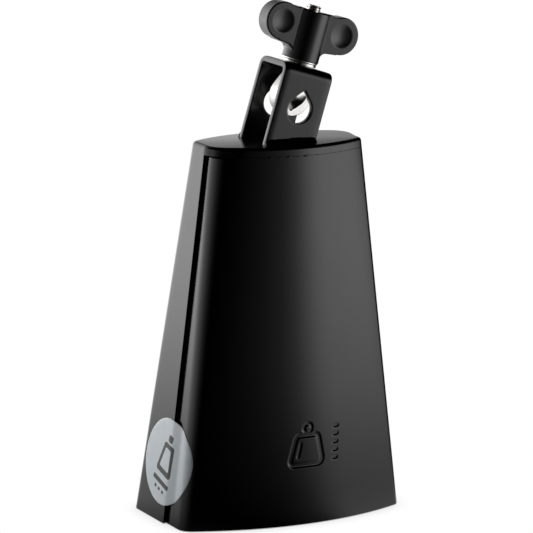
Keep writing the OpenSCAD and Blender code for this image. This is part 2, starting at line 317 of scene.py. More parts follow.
# ---------------------------------------------------------------- solids from distance fields
def surface_nets(field, low, high, cell):
    """Quad mesh of the surface where field(x, y, z) is zero."""
    axes = [np.arange(low[i], high[i] + cell, cell) for i in range(3)]
    grid = np.meshgrid(*axes, indexing="ij")
    value = field(*grid).astype(np.float32)
    shape = value.shape
    cells = tuple(k - 1 for k in shape)
    count = np.zeros(cells, np.float32)
    total = np.zeros(cells + (3,), np.float32)
    quads = []
    for a in range(3):
        near, far = [slice(None)] * 3, [slice(None)] * 3
        near[a], far[a] = slice(0, -1), slice(1, None)
        near = tuple(near)
        start, end = value[near], value[tuple(far)]
        cross = (start < 0) != (end < 0)
        t = np.where(cross, start / (start - end + 1e-20), 0)
        b, c = (a + 1) % 3, (a + 2) % 3
        # each crossed grid edge adds its crossing point to the four cells round it
        for db, dc in ((0, 0), (0, 1), (1, 0), (1, 1)):
            part = [slice(None)] * 3
            part[b], part[c] = slice(db, cells[b] + db), slice(dc, cells[c] + dc)
            part = tuple(part)
            hit = cross[part]
            count += hit
            for d in range(3):
                shift = t[part] * cell if d == a else 0
                total[..., d] += np.where(hit, grid[d][near][part] + shift, 0)
        at = np.argwhere(cross)
        at = at[(at[:, b] > 0) & (at[:, c] > 0)
                & (at[:, b] < shape[b] - 1) & (at[:, c] < shape[c] - 1)]
        leaving = start[tuple(at.T)] < 0
        corners = []
        for db, dc in ((0, 0), (1, 0), (1, 1), (0, 1)):
            cell_at = at.copy()
            cell_at[:, b] -= db
            cell_at[:, c] -= dc
            corners.append(np.ravel_multi_index(tuple(cell_at.T), cells))
        corners = np.stack(corners, 1)
        corners[~leaving] = corners[~leaving][:, ::-1]
        quads.append(corners)
    used = np.flatnonzero(count.ravel() > 0)
    remap = np.full(count.size, -1, np.int64)
    remap[used] = np.arange(len(used))
    verts = (total.reshape(-1, 3)[used] / count.ravel()[used][:, None]).astype(float)
    # draw the points onto the surface
    reach = 0.02
    for _ in range(3):
        off = field(verts[:, 0], verts[:, 1], verts[:, 2])
        slope = np.stack([(field(*(verts + d).T) - field(*(verts - d).T)) / (2 * reach)
                          for d in np.eye(3) * reach], 1)
        steep = np.maximum((slope * slope).sum(1), 0.25)
        verts -= slope * np.clip(off / steep, -cell / 2, cell / 2)[:, None]
    return verts, remap[np.concatenate(quads)]


def smooth_min(a, b, k):
    t = np.clip(0.5 + 0.5 * (b - a) / k, 0, 1)
    return b + (a - b) * t - k * t * (1 - t)


def round_cross(a, b, radius):
    """Where two fields overlap, with the edge between them rounded."""
    a, b = a + radius, b + radius
    return np.hypot(np.maximum(a, 0), np.maximum(b, 0)) - radius + np.minimum(np.maximum(a, b), 0)


# ---------------------------------------------------------------- shader nodes
class Graph:
    """A node tree with short calls for the nodes used here."""

    def __init__(self, tree):
        self.tree = tree

    def plug(self, socket, value):
        if isinstance(value, bpy.types.NodeSocket):
            self.tree.links.new(value, socket)
        else:
            socket.default_value = value

    def feed(self, item, **inputs):
        """Sets or links inputs by name, with _ for a space."""
        for name, value in inputs.items():
            self.plug(item.inputs[name.replace("_", " ")], value)

    def add(self, kind, **inputs):
        item = self.tree.nodes.new("ShaderNode" + kind)
        self.feed(item, **inputs)
        return item

    def surface(self, **inputs):
        self.feed(self.tree.nodes["Principled BSDF"], **inputs)

    def math(self, operation, *values):
        item = self.add("Math")
        item.operation = operation
        for i, value in enumerate(values):
            self.plug(item.inputs[i], value)
        return item.outputs[0]

    def noise(self, coords, scale, detail, rough):
        return self.add("TexNoise", Scale=scale, Detail=detail, Roughness=rough,
                        Vector=coords).outputs["Fac"]

    def ramp(self, fac, stops):
        """Colour ramp from (position, grey or colour) stops."""
        item = self.add("ValToRGB", Fac=fac)
        elements = item.color_ramp.elements
        while len(elements) < len(stops):
            elements.new(0.5)
        for element, (position, colour) in zip(elements, stops):
            element.position = position
            element.color = (*colour, 1) if hasattr(colour, "__len__") else (*[colour] * 3, 1)
        return item.outputs["Color"]

    def span(self, value, low, high, start=0.0, end=1.0):
        """Maps start..end to low..high."""
        return self.add("MapRange", Value=value, From_Min=start, From_Max=end,
                        To_Min=low, To_Max=high).outputs[0]

    def bump(self, height, strength, distance, under=None):
        item = self.add("Bump", Strength=strength, Distance=distance, Height=height)
        if under is not None:
            self.feed(item, Normal=under)
        return item.outputs["Normal"]

    def camera_switch(self, lighting, seen):
        """One shader for lighting and reflections, another as seen by the camera."""
        item = self.add("MixShader")
        camera_ray = self.add("LightPath").outputs["Is Camera Ray"]
        for i, value in enumerate((camera_ray, lighting.outputs[0], seen.outputs[0])):
            self.plug(item.inputs[i], value)
        return item.outputs[0]


def principled(name):
    material = bpy.data.materials.new(name)
    material.use_nodes = True
    graph = Graph(material.node_tree)
    return material, graph, graph.add("TexCoord").outputs["Object"]


# ---------------------------------------------------------------- materials
def powder_coat(name, rough, specular=0.5):
    """Black powder coat: fine orange peel, slow gloss changes and rubbed edges."""
    material, graph, coords = principled(name)
    peel = graph.noise(coords, scale=900, detail=2, rough=0.5)
    slow = graph.noise(coords, scale=26, detail=4, rough=0.55)
    fine = graph.noise(coords, scale=3800, detail=1, rough=0.5)
    normal = graph.bump(peel, strength=0.05, distance=0.00004)
    normal = graph.bump(fine, strength=0.04, distance=0.00001, under=normal)
    # edges rubbed very slightly lighter, in patches
    edges = graph.ramp(graph.add("NewGeometry").outputs["Pointiness"],
                       [(0.0, 0.0), (0.56, 0.0), (0.66, 0.35), (1.0, 1.0)])
    patches = graph.ramp(graph.noise(coords, scale=140, detail=3, rough=0.6),
                         [(0.0, 0.0), (0.5, 0.0), (0.62, 1.0), (1.0, 1.0)])
    colour = graph.add("MixRGB", Fac=graph.math("MULTIPLY", edges, patches),
                       Color1=(0.0012, 0.0012, 0.0013, 1), Color2=(0.012, 0.012, 0.0125, 1))
    graph.surface(
        Normal=normal,
        Roughness=graph.span(slow, low=rough - 0.025, high=rough + 0.03, start=0.3, end=0.7),
        Base_Color=colour.outputs[0], Specular_IOR_Level=specular, IOR=1.5)
    return material


def plated(name, dark, light, mottle, rough_low, rough_high, metallic, grain):
    """Plating mottled between two colours; mottle is a noise scale, grain a bump strength."""
    material, graph, coords = principled(name)
    colour = graph.ramp(graph.noise(coords, scale=mottle, detail=4, rough=0.6),
                        [(0.3, dark), (0.7, light)])
    rough = graph.span(graph.noise(coords, scale=420, detail=3, rough=0.6), rough_low, rough_high)
    normal = graph.bump(graph.noise(coords, scale=1400, detail=3, rough=0.6),
                        strength=grain, distance=0.00004)
    graph.surface(Base_Color=colour, Roughness=rough, Metallic=metallic, Normal=normal)
    return material


def nickel(name, rough, tint):
    return plated(name, dark=tuple(c * 0.93 for c in tint), light=tint, mottle=120,
                  rough_low=rough * 0.7, rough_high=rough * 1.5, metallic=1.0, grain=0.12)


def moulded(name):
    """Charcoal plastic with a fine pebbled grain."""
    material, graph, coords = principled(name)
    colour = graph.ramp(graph.noise(coords, scale=300, detail=4, rough=0.6),
                        [(0.3, (0.0045, 0.0046, 0.0052)), (0.7, (0.0070, 0.0071, 0.0078))])
    pebbles = graph.add("TexVoronoi", Scale=2600, Vector=coords).outputs["Distance"]
    normal = graph.bump(pebbles, strength=0.16, distance=0.00006)
    normal = graph.bump(graph.noise(coords, scale=700, detail=3, rough=0.5),
                        strength=0.08, distance=0.0001, under=normal)
    rough = graph.span(graph.noise(coords, scale=90, detail=3, rough=0.5), low=0.20, high=0.27)
    graph.surface(Base_Color=colour, Normal=normal, Roughness=rough, Specular_IOR_Level=0.66)
    return material


def film(name, dark, light, rough, specular):
    """Slightly wavy label film."""
    material, graph, coords = principled(name)
    colour = graph.ramp(graph.noise(coords, scale=240, detail=5, rough=0.6),
                        [(0.3, dark), (0.7, light)])
    normal = graph.bump(graph.noise(coords, scale=160, detail=3, rough=0.5),
                        strength=0.05, distance=0.0003)
    normal = graph.bump(graph.noise(coords, scale=2500, detail=2, rough=0.5),
                        strength=0.05, distance=0.00003, under=normal)
    graph.surface(Base_Color=colour, Normal=normal, Roughness=rough, Specular_IOR_Level=specular)
    return material


COAT = powder_coat("black_powder_coat", rough=0.14)
COAT_BRACKET = powder_coat("black_powder_coat_bracket", rough=0.18, specular=0.56)
COAT_INSIDE = powder_coat("black_coat_inside", rough=0.42)
NICKEL = nickel("bright_nickel", rough=0.19, tint=(0.86, 0.835, 0.80))
NICKEL_EYE = plated("blasted_nickel_eye", dark=(0.85, 0.825, 0.80), light=(0.93, 0.905, 0.88),
                    mottle=150, rough_low=0.38, rough_high=0.50, metallic=0.35, grain=0.10)
# painted shade: a darker tint of nickel for the eye's bore and lower ring edges, where shade falls
NICKEL_PAINTED_SHADE = nickel("nickel_painted_shade_bore", rough=0.17, tint=(0.44, 0.425, 0.405))
PLASTIC = moulded("charcoal_moulded_plastic")
FILM = film("label_film", dark=(0.735, 0.81, 0.865), light=(0.80, 0.87, 0.92),
            rough=0.3, specular=0.62)
INK = film("label_ink", dark=(0.036, 0.034, 0.038), light=(0.050, 0.048, 0.052),
           rough=0.36, specular=0.4)

# ---------------------------------------------------------------- bell plan shape
# steps round a corner, steps along a face, and the middle point of a face
CORNER_STEPS, ARC_STEPS = 16, 76
MIDDLE = CORNER_STEPS + ARC_STEPS // 2
RIPPLE = 0.035


def mix(p, q, t):
    return p + (q - p) * t


def at(pair, z):
    return mix(*pair, z / H)


def half_width(z):
    return at(WIDTH, z) / 2


def face_radius(z):
    return (half_width(z) ** 2 + at(BOW, z) ** 2) / (2 * at(BOW, z))


def face_centre(z):
    return at(DEPTH, z) / 2 + at(BOW, z) - face_radius(z)


def corner_centre(z, side_in, face_in, radius):
    """Centre of the right corner's arc, and the angle it turns through to meet the face."""
    x = half_width(z) - side_in - radius
    y = face_centre(z) + math.sqrt((face_radius(z) - face_in - radius) ** 2 - x * x)
    return x, y, math.atan2(y - face_centre(z), x)


def face(z, side_in, face_in, radius):
    """Bowed face with its two corners, right to left, y growing outwards."""
    face_r = face_radius(z) - face_in
    cx, cy, bend = corner_centre(z, side_in, face_in, radius)
    q = bend * np.arange(CORNER_STEPS + 1) / CORNER_STEPS
    right = np.stack([cx + radius * np.cos(q), cy + radius * np.sin(q)], 1)
    q = bend + (math.pi - 2 * bend) * np.arange(1, ARC_STEPS) / ARC_STEPS
    arc = np.stack([face_r * np.cos(q), face_centre(z) + face_r * np.sin(q)], 1)
    return np.concatenate([right, arc, right[::-1] * [-1, 1]])


def halves(right, left):
    return np.concatenate([right[:MIDDLE + 1], left[MIDDLE + 1:]])


def swell(f, z):
    """Uneven crown: the rear right corner stands out a little more than the left."""
    k = z / H
    right = np.clip(f[:, 0] / 38, 0, 1)
    corner = np.clip((f[:, 1] + 4) / 9.0, 0, 1) * np.clip((f[:, 0] - 26) / 16, 0, 1)
    back = np.clip((f[:, 1] - 2) / 6, 0, 1)
    return f + np.stack([1.95 * k ** 2 * corner, 0.85 * k ** 2 * right * back], 1)


def rear_face(z, depth):
    """The rear right corner opens into a larger radius towards the crown."""
    right_r = mix(CORNER, CORNER_CROWN, (z / H) ** 2)
    f = halves(face(z, depth, depth, right_r - depth), face(z, depth, depth, CORNER - depth))
    return f + [0, 0.4 + 1.5 * z / H]


def front_face(z, depth, left_in):
    """Small corner on the right, large one on the left."""
    f = halves(face(z, depth, depth, CORNER - depth),
               face(z, left_in + depth, depth, at(FRONT_LEFT_R, z) - depth))
    return f * [1, -1]


def flank(x, y_from, y_to, count):
    """Straight side, without its last point."""
    y = mix(y_from, y_to, np.linspace(0, 1, count)[:, None])
    return np.concatenate([np.full((count, 1), x), y], 1)[:-1]


def rear_open(z, depth):
    """Right seam edge, round the back, to the left seam edge."""
    f = rear_face(z, depth)
    side = flank(half_width(z) - depth, at(SEAM, z), f[0, 1], 9)
    return swell(np.concatenate([side, f, (side * [-1, 1])[::-1]]), z)


def front_closed(z, depth):
    """Left seam edge, round the front, to the right seam edge (skirt and crown only)."""
    f = front_face(z, depth, 0)
    x = half_width(z) - depth
    right = flank(x, at(SEAM, z), f[0, 1], 6)
    left = flank(-x, at(SEAM, z), f[-1, 1], 6)
    return np.concatenate([right, f, left[::-1]])[::-1]


def front_open(z, depth):
    """Butted edge on the right, round the front, to the flange behind the left flank."""
    f = front_face(z, depth, STEP)
    right = flank(half_width(z) - depth, at(SEAM, z) - 0.06, f[0, 1], 9)
    left = flank(-(half_width(z) - STEP - depth), at(SEAM, z) + LAP, f[-1, 1], 14)
    return np.concatenate([right, f, left[::-1]])


def with_z(points, z):
    return np.concatenate([points, np.full((len(points), 1), z)], 1)


def ripple(points):
    """Slow, shallow waves of pressed sheet."""
    x, z = points[:, 0], points[:, 2]
    broad = np.sin(x * 0.071 + z * 0.031 + 0.6) * np.sin(z * 0.047 - x * 0.02 + 1.1)
    return RIPPLE * (broad + 0.5 * np.sin(x * 0.16 - z * 0.052 + 2.0) * np.sin(z * 0.09 + 0.4))


# ---------------------------------------------------------------- rear shell
def skirt_front(z, depth):
    """Front of the skirt; its outside is drawn in at the left and comes back out by the middle."""
    line = front_closed(z, depth)
    if depth >= SHEET:
        return line
    step = np.diff(line, axis=0)
    run = np.concatenate([[0], np.cumsum(np.hypot(step[:, 0], step[:, 1]))])
    back_out = np.clip((run - 9) / 16, 0, 1)
    dent = 1.25 * np.sin(np.clip(run / 6.5, 0, 1) * math.pi / 2) ** 1.15
    dent *= (1 - back_out * back_out * (3 - 2 * back_out)) * (line[:, 0] < 0)
    tangent = np.gradient(line, axis=0)
    tangent /= np.linalg.norm(tangent, axis=1)[:, None]
    return line + np.stack([-tangent[:, 1], tangent[:, 0]], 1) * dent[:, None]


def rim_rows(top, radius, angles, depth):
    """Quarter round at the crown, as (height, depth into the sheet, height of the plan)."""
    return [(top - radius + radius * math.sin(q), depth + radius * (1 - math.cos(q)), H - RIM)
            for q in angles]


def rear_shell():
    """Back of the bell in one piece with the crown and the skirt round it."""
    heights = list(np.linspace(0, H - SKIRT, 46)) + [H - 4, H - 3, H - RIM]
    skirt_row = 45
    outer_rows = [(z, 0.0, z) for z in heights]
    outer_rows += rim_rows(H, RIM, np.linspace(0, math.pi / 2, 13)[1:], 0.0)
    inner_rows = [(z, SHEET, z) for z in heights]
    inner_rows += rim_rows(H - SHEET, 0.6, np.linspace(0, math.pi / 2, 6), SHEET)
    verts, faces = [], []

    def add(points):
        first = len(verts)
        verts.extend(points)
        return list(range(first, len(verts)))

    def add_rows(rows):
        rear, front = [], []
        for n, (z, depth, plan_z) in enumerate(rows):
            points = with_z(rear_open(plan_z, depth), z)
            if depth == 0:
                k = np.arange(len(points))
                mid = (k > 9 + CORNER_STEPS) & (k < len(points) - 10 - CORNER_STEPS)
                points[mid, 1] += ripple(points)[mid]
            rear.append(add(points))
            if n >= skirt_row:
                line = add(with_z(skirt_front(plan_z, depth)[1:-1], z))
                front.append([rear[-1][-1]] + line + [rear[-1][0]])
            else:
                front.append(None)
        return rear, front

    def strip(a, b, flip):
        for j in range(len(a) - 1):
            quad = (a[j], a[j + 1], b[j + 1], b[j])
            faces.append(quad[::-1] if flip else quad)

    outer, outer_front = add_rows(outer_rows)
    inner, inner_front = add_rows(inner_rows)
    for rear, front, flip in ((outer, outer_front, False), (inner, inner_front, True)):
        for n in range(len(rear) - 1):
            strip(rear[n], rear[n + 1], flip)
            if n >= skirt_row:
                strip(front[n], front[n + 1], flip)
    # mouth edge, seam edges, skirt edge, crown top and underside
    strip(inner[0], outer[0], False)
    for n in range(skirt_row):
        a, b, c, d = outer[n], outer[n + 1], inner[n + 1], inner[n]
        faces.append((a[0], b[0], c[0], d[0]))
        faces.append((b[-1], a[-1], d[-1], c[-1]))
    strip(inner_front[skirt_row], outer_front[skirt_row], False)
    faces.append(tuple(outer[-1] + outer_front[-1][1:-1]))
    faces.append(tuple((inner[-1] + inner_front[-1][1:-1])[::-1]))
    ob = make("rear_shell_pressing", (verts, faces), "bell", [COAT], "rear_shell")
    bevel(ob, 0.2)


# ---------------------------------------------------------------- front shell
MARK_X, MARK_Z, MARK_DEPTH = 2.6, 42.6, 0.5
MARK_SLANT = 0.06
MARK_FADE = 0.75  # width of the pressed line's sloping side
MARK_BODY = rounded(trapezoid(10.6, -10.4, 6.6, 5.6), 2.6, 5)


def segment_distance(x, z, a, b):
    d = np.array(b, float) - np.array(a, float)
    t = np.clip(((x - a[0]) * d[0] + (z - a[1]) * d[1]) / (d @ d), 0, 1)
    return np.hypot(x - a[0] - t * d[0], z - a[1] - t * d[1])


def pressed(x, z):
    """Depth of the pressed mark: a bell outline under a ring, a slanted stroke, five ticks."""
    x = x - MARK_X - MARK_SLANT * (z - MARK_Z)
    z = z - MARK_Z
    sides = [segment_distance(x, z, MARK_BODY[k - 1], MARK_BODY[k]) for k in range(len(MARK_BODY))]
    d = np.min(sides, 0) - 1.25
    d = np.minimum(d, np.abs(np.hypot(x, z - 9.2) - 2.4) - 0.85)
    d = np.minimum(d, segment_distance(x, z, (-3.9, 0.6), (-5.2, -5.6)) - 0.8)
    for k in range(5):
        tick_z = -8.6 + 4.3 * k
        d = np.minimum(d, segment_distance(x, z, (17.0, tick_z), (19.4, tick_z)) - 0.75)
    t = np.clip(0.5 - d / MARK_FADE, 0, 1)
    return MARK_DEPTH * t * t * (3 - 2 * t)


def front_row(z, depth, columns):
    """One level of the front shell, right to left."""
    p = front_open(z, depth)
    first, last = 8 + CORNER_STEPS, len(p) - 14 - CORNER_STEPS
    x = mix(p[first, 0], p[last, 0], columns)
    y = -(face_centre(z) + np.sqrt((face_radius(z) - depth) ** 2 - x ** 2))
    p = with_z(np.concatenate([p[:first + 1], np.stack([x, y], 1), p[last:]]), z)
    k = np.arange(len(p))
    mid = (k > 9 + CORNER_STEPS) & (k < len(p) - 15 - CORNER_STEPS)
    p[mid, 1] += ripple(p)[mid] * min(1, (H - SKIRT - z) / 20)
    if 24 < z < 62:
        p[:, 1] += np.where(mid, pressed(p[:, 0], p[:, 2]), 0)
    # the top edge drops slightly at the left corner
    left = np.clip((-p[:, 0] - 33) / 5, 0, 1)
    p[:, 2] -= 0.75 * left * max(0, (z - 186) / (H - SKIRT - 186)) ** 2
    return p


def front_shell():
    # rows and columns lie closer together where the mark is pressed
    heights = np.concatenate([np.linspace(0, 26, 12)[:-1], np.arange(26, 60, 0.42),
                              np.linspace(60, H - SKIRT - 0.06, 52)])
    columns = np.concatenate([np.linspace(0, 0.25, 17)[1:-1], np.linspace(0.25, 0.655, 112),
                              np.linspace(0.655, 1, 23)[1:-1]])
    verts, faces, sides = [], [], []
    for depth in (0.0, SHEET):
        rows = []
        for z in heights:
            points = front_row(z, depth, columns)
            rows.append(list(range(len(verts), len(verts) + len(points))))
            verts.extend(points)
        sides.append(rows)
    out, inn = sides
    last = len(out[0]) - 1
    for n in range(len(heights) - 1):
        a, b, c, d = out[n], out[n + 1], inn[n + 1], inn[n]
        for j in range(last):
            faces.append((a[j + 1], a[j], b[j], b[j + 1]))
            faces.append((d[j], d[j + 1], c[j + 1], c[j]))
        faces.append((a[0], d[0], c[0], b[0]))
        faces.append((d[-1], a[-1], b[-1], c[-1]))
    for j in range(last):
        faces.append((out[0][j], out[0][j + 1], inn[0][j + 1], inn[0][j]))
        faces.append((out[-1][j + 1], out[-1][j], inn[-1][j], inn[-1][j + 1]))
    ob = make("front_shell_pressing", (verts, faces), "bell", [COAT], "front_shell")
    bevel(ob, 0.12)


# ---------------------------------------------------------------- coating runs on the front face
# section of a run: (across / width, out / height); its foot is sunk in the face
RUN_SECTION = [(-0.5, -0.25), (-0.5, 0.0), (-0.36, 0.55), (-0.24, 0.9), (0, 1.0),
               (0.24, 0.9), (0.36, 0.55), (0.5, 0.0), (0.5, -0.25)]
# (middle x, length, width, height)
RUNS = [(-17.2, 3.4, 1.3, 0.24), (-11.4, 2.2, 1.1, 0.2), (-6.6, 3.0, 1.3, 0.25),
        (-0.6, 2.0, 1.0, 0.18), (4.2, 4.2, 1.2, 0.22), (11.4, 2.0, 0.9, 0.14),
        (-24.0, 2.0, 0.9, 0.14)]


def front_point(x, z, out):
    """Point of the front face, lifted by out."""
    radius = face_radius(z) + out
    wave = ripple(np.array([[x, 0, z]]))[0]
    return np.array([x, -(face_centre(z) + math.sqrt(radius * radius - x * x)) + wave, z])


def raised_stroke(path, width, height):
    """Raised line on the front face, tapered at both ends."""
    p = np.asarray(path, float)
    pieces = []
    for a, b in zip(p, p[1:]):
        count = max(2, int(np.linalg.norm(b - a) / 0.6) + 1)
        pieces.append(np.linspace(a, b, count)[:-1])
    p = np.concatenate(pieces + [p[-1:]])
    after = np.concatenate([p[1:], p[-1:] * 2 - p[-2:-1]])
    before = np.concatenate([p[:1] * 2 - p[1:2], p[:-1]])
    tangent = after - before
    tangent /= np.linalg.norm(tangent, axis=1)[:, None]
    normal = np.stack([-tangent[:, 1], tangent[:, 0]], 1)
    count, size = len(p), len(RUN_SECTION)
    verts, faces = [], []
    for i in range(count):
        taper = min(1.0, 0.35 + i * 0.35, 0.35 + (count - 1 - i) * 0.35)
        for a, b in RUN_SECTION:
            x, z = p[i] + normal[i] * a * width * taper
            verts.append(front_point(x, z, b * height * (taper if b > 0 else 1)))
    for i in range(count - 1):
        faces += band(i * size, (i + 1) * size, size)
    faces.append(tuple(range(size)))
    faces.append(tuple(range((count - 1) * size, count * size))[::-1])
    return verts, faces


def coating_runs():
    """Small runs of the coating caught along the skirt joint."""
    z = H - SKIRT - 0.1
    parts = [raised_stroke([(x - length / 2, z), (x - length / 6, z - 0.12), (x + length / 2, z)],
                           width, height) for x, length, width, height in RUNS]
    make("coating_runs", join(parts), "bell", [COAT], angle=70)


# ---------------------------------------------------------------- bracket
# The strap is laid out flat as (across, along), along measured from the middle of its top.
BEND_OUT = STRAP_T + BEND_IN
EAR_Y = EARS_D / 2
BEND_FROM = EAR_Y - BEND_OUT
BEND_LEN = (BEND_OUT + BEND_IN) / 2 * math.pi / 2
EAR_FROM = BEND_FROM + BEND_LEN


def strap_place(points, depth):
    """Flat strap coordinates and depth from its outside, to the bell frame."""
    w, along = points[:, 0], points[:, 1]
    end = np.where(along < 0, -1.0, 1.0)
    s = np.abs(along)
    # the edges roll off a little on the outside
    roll = np.where(w < 0, 0.44 * np.clip((-w - 11.6) / 3.4, 0, 1) ** 2,
                    0.20 * np.clip((w - 10.5) / 4.5, 0, 1) ** 2)
    # and the faces stand a little less than a degree off square
    depth = depth + (roll + 0.014 * (w + 15)) * (1 - depth / STRAP_T)
    q = np.clip((s - BEND_FROM) / BEND_LEN, 0, 1) * math.pi / 2
    radius = BEND_OUT - depth
    y = np.where(s <= BEND_FROM, s, BEND_FROM + radius * np.sin(q))
    up = np.where(s <= BEND_FROM, STRAP_TOP - depth, STRAP_TOP - BEND_OUT + radius * np.cos(q))
    ear = s >= EAR_FROM
    up = np.where(ear, STRAP_TOP - BEND_OUT - (s - EAR_FROM), up)
    y = np.where(ear, EAR_Y - depth, y)
    return neck(np.stack([w, EARS_BACK + end * y, up], 1))


def ear_along(up):
    """Distance along the strap of a height on an ear."""
    return EAR_FROM + (STRAP_TOP - BEND_OUT - up)


def teardrop(end):
    """Hole in one ear, its point upwards."""
    a = np.radians(np.linspace(135, 405, 54))
    r, tip = EAR_HOLE_R, EAR_HOLE_TIP_R
    round_part = np.stack([r * np.cos(a), EAR_HOLE_UP + r * np.sin(a)], 1)
    tip_up = EAR_HOLE_UP + (r * math.sqrt(2) - tip * math.sqrt(2))
    a = np.radians(np.linspace(45, 135, 9))
    point = np.stack([tip * np.cos(a), tip_up + tip * np.sin(a)], 1)
    loop = np.concatenate([round_part, point])
    return np.stack([loop[:, 0], end * ear_along(loop[:, 1])], 1)


def bracket():
    def foot(w):
        """Where the ear ends, a little below the crown, cut level."""
        return ear_along((-0.7 + w * math.sin(LEAN)) / math.cos(LEAN))

    w = STRAP_W / 2
    corners = [(-w, -foot(-w)), (w, -foot(w)), (w, foot(w)), (-w, foot(-w))]
    outer = resample(rounded(corners, 0.5, 4), 1.0)
    holes = [teardrop(1), teardrop(-1), circle((0, -EARS_BACK), BOLT_HOLE_R, 56)]
    strap = sheet_part(outer, holes, strap_place, STRAP_T, edge=0.62, step=0.9)
    make("clamp_bracket_strap", strap, "bell", [COAT_BRACKET], "mount_bracket", 60)


WELD_END = 15.7
WELD_POINTS = 12  # across the bead's face; three more close its back


def weld_size(x, side):
    """Bead size along its run, as a share of FOOT_LEG: blunt ends, ripples, two lumps."""
    end = min(1.0, math.sqrt(max(0.03, 1 - (abs(x) / WELD_END) ** 10)))
    phase = x * 1.55 + 0.6 * math.sin(x * 0.5 + side)
    size = 0.92 + 0.03 * math.sin(phase * 0.6) + 0.02 * math.sin(2 * phase + 0.8)
    size += 0.05 * math.sin(x * 0.43 + 1.0)
    size += 0.10 * math.exp(-((x - 5.2) / 1.3) ** 2) + 0.07 * math.exp(-((x + 7.5) / 1.0) ** 2)
    return end, size


def foot_welds():
    """A rippled weld bead along each ear's lower outer edge."""
    parts = []
    stations = np.linspace(-15.6, 15.6, 150)
    count = WELD_POINTS + 3
    for side in (-1, 1):
        y = EARS_BACK + side * EARS_D / 2
        verts, faces = [], []
        for x in stations:
            end, size = weld_size(x, side)
            for k in range(WELD_POINTS):
                q = math.radians(90 * k / (WELD_POINTS - 1))
                out, up = abs(math.cos(q)) ** 1.6, abs(math.sin(q)) ** 1.6
                verts.append((NECK_X + x, y + side * FOOT_LEG * end * size * out,
                              H + FOOT_LEG * end * size * up))
            verts.append((NECK_X + x, y - side * 0.5, H + FOOT_LEG * end * size * 0.7))
            verts.append((NECK_X + x, y - side * 0.5, H - 0.3))
            verts.append((NECK_X + x, y + side * FOOT_LEG * end * size * 0.8, H - 0.3))
        for i in range(len(stations) - 1):
            faces += band(i * count, (i + 1) * count, count, turned=True)
        faces.append(tuple(range(count))[::-1])
        faces.append(tuple(range((len(stations) - 1) * count, len(stations) * count)))
        parts.append((verts, faces if side < 0 else [f[::-1] for f in faces]))
    make("foot_weld_beads", join(parts), "bell", [COAT_BRACKET], "foot_welds", 60)


# ---------------------------------------------------------------- eyebolt
def eye_hole(x, z, across):
    """Teardrop field, point down; across is the distance from the middle used by the point."""
    ring = np.hypot(x, z - EYE_HOLE_UP) - EYE_HOLE_R
    vee = np.maximum((EYE_HOLE_TIP + across - z) / math.sqrt(2),
                     z - (EYE_HOLE_UP - EYE_HOLE_R / math.sqrt(2)))
    return np.minimum(ring, vee)


def eye_field(x, y, z):
    # round ring that tapers towards the shank
    taper = math.radians(26.8)
    across, up = np.abs(x), z - EYE_UP
    along = up * math.cos(taper) - across * math.sin(taper)
    outline = np.where(along > 0, across * math.cos(taper) + up * math.sin(taper) - EYE_R,
                       np.hypot(x, up) - EYE_R)
    outline = np.maximum(outline, z - EYE_TOP)
    outline = np.maximum(outline, -eye_hole(x, z, np.sqrt(x * x + 0.25)))
    ring = round_cross(outline, np.abs(y) - EYE_T / 2, 0.55)
    # start of the shank
    shank = np.maximum(np.hypot(x, y) - 3.72, np.abs(z - 37.0) - 2.6)
    return smooth_min(ring, shank, 0.5)


def eyebolt_forging():
    verts, quads = surface_nets(eye_field, (-11.5, -5.5, 12.6), (11.5, 5.5, 40.2), 0.25)
    # painted shade: the bore and the lower edges of the ring get a darker nickel, the rest pale
    x, y, z = verts[quads].mean(1).T
    side = EYE_T / 2 - np.abs(y)
    bore = (eye_hole(x, z, np.abs(x)) < 0.45) & (side > 0.12)
    bore |= (side > 0.05) & (side < 0.45) & (z < 31)
    make("eyebolt_forging", (neck(verts), quads), "eye",
         [NICKEL_EYE, NICKEL_PAINTED_SHADE], "eyebolt", 60, bore)


def eyebolt_thread():
    around, rows_per_turn = 60, 9
    rows = int((THREAD_TO - THREAD_FROM) / PITCH * rows_per_turn)
    z = np.linspace(THREAD_FROM, THREAD_TO, rows)
    a = np.linspace(0, 2 * math.pi, around, endpoint=False)
    phase = (z[:, None] / PITCH - a[None] / (2 * math.pi)) % 1.0
    groove = np.clip((np.abs(phase * 2 - 1) - 0.12) / 0.72, 0, 1)
    radius = THREAD_R - 0.62 * groove
    lead = np.clip((THREAD_TO - z) / 0.9, 0, 1)[:, None]
    radius = np.minimum(radius, THREAD_R - 0.85 + 0.85 * lead)
    verts = [np.stack([radius * np.cos(a), radius * np.sin(a),
                       np.repeat(z[:, None], around, 1)], -1).reshape(-1, 3)]
    faces = []
    for i in range(rows - 1):
        faces += band(i * around, (i + 1) * around, around)
    # end face with a shallow centre dimple: (radius, height)
    ring = (rows - 1) * around
    for r, dz in ((2.6, 0.0), (1.5, -0.02), (0.9, -0.12), (0.35, -0.22)):
        verts.append(with_z(circle((0, 0), r, around), THREAD_TO + dz))
        faces += band(ring, ring + around, around)
        ring += around
    faces.append(tuple(range(ring, ring + around)))
    faces.append(tuple(range(around))[::-1])
    make("eyebolt_thread", (neck(np.concatenate(verts)), faces), "eye", [NICKEL],
         angle=32)


# ---------------------------------------------------------------- washer, insert, handle
def washer():
    low = STRAP_TOP + GAP
    profile = rounded(box(4.25, low, 9.3, low + WASHER_T), [0.15, 0.2, 0.5, 0.2])
    make("flat_washer_plated", lathe(profile[::-1]), "washer", [NICKEL],
         "flat_washer", 45)


